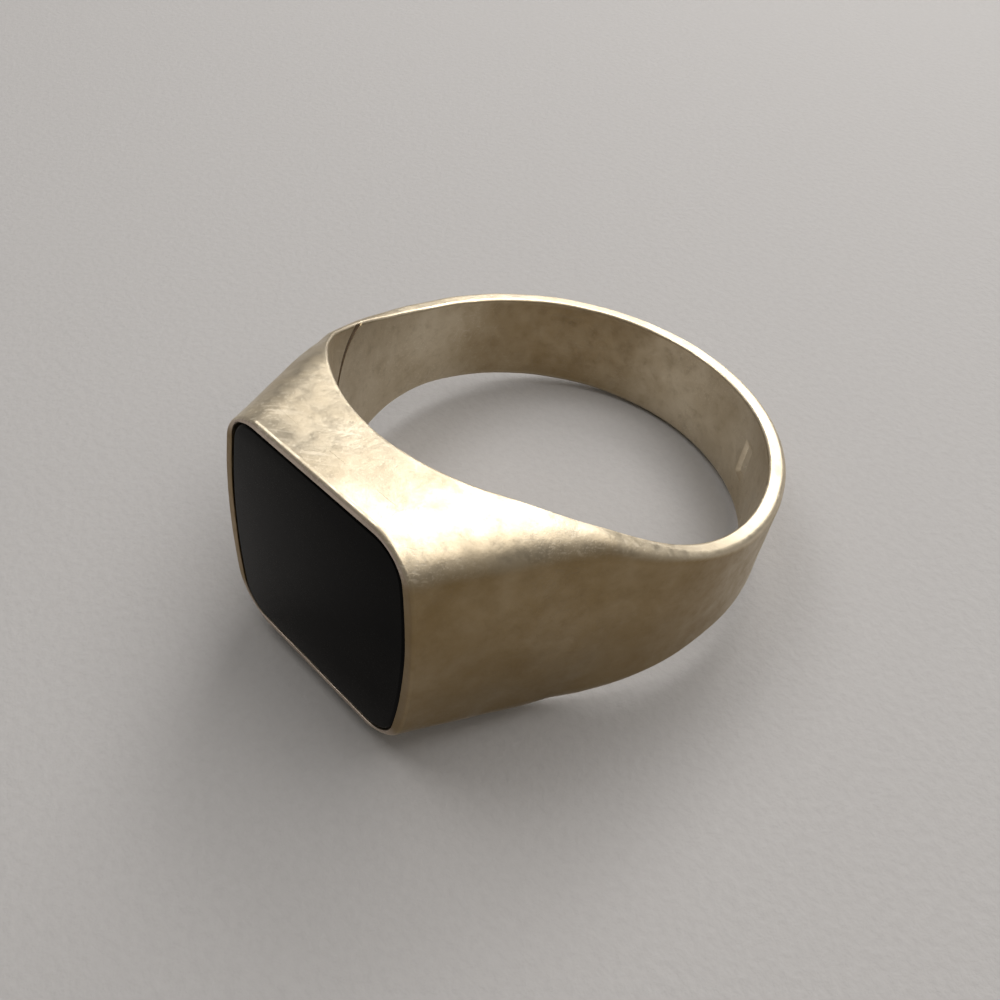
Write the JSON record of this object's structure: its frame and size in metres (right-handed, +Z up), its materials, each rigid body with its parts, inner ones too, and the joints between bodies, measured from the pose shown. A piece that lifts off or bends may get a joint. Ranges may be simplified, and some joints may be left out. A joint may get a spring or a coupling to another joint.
{
  "type": "signet ring",
  "caption": "Signet ring lying on its side: wide hollow head with a flush black onyx plate in a thin rim, flared shoulders and a narrow plain band.",
  "frame": {"origin": "on the surface that the ring lies on, under the centre of its bounding box", "axes": "-Y towards the stone's face, +Y towards the back of the band, +X across the face, +Z up; the ring lies on its side, so the finger axis leans 9.62 degrees from +Z towards +Y"},
  "size_m": [0.0216, 0.0252, 0.012],
  "materials": {
    "gold": "pale yellow gold, worn satin polish with fine scratches",
    "rim_gold": "pale yellow gold, rubbed dull on its narrow front edge",
    "solder": "gold solder, filed flush, slightly darker than the gold",
    "cement": "cured clear amber epoxy",
    "onyx": "polished black onyx with a fine ground edge"
  },
  "bodies": {
    "root": {"shank": "gold", "solder_left": "solder", "solder_right": "solder", "head_shell": "gold", "lining_plate": "gold", "lining_solder": "solder", "bezel_rim": "rim_gold", "stone_seat": "gold", "cement_bed": "cement", "onyx_plate": "onyx"}
  },
  "joints": []
}
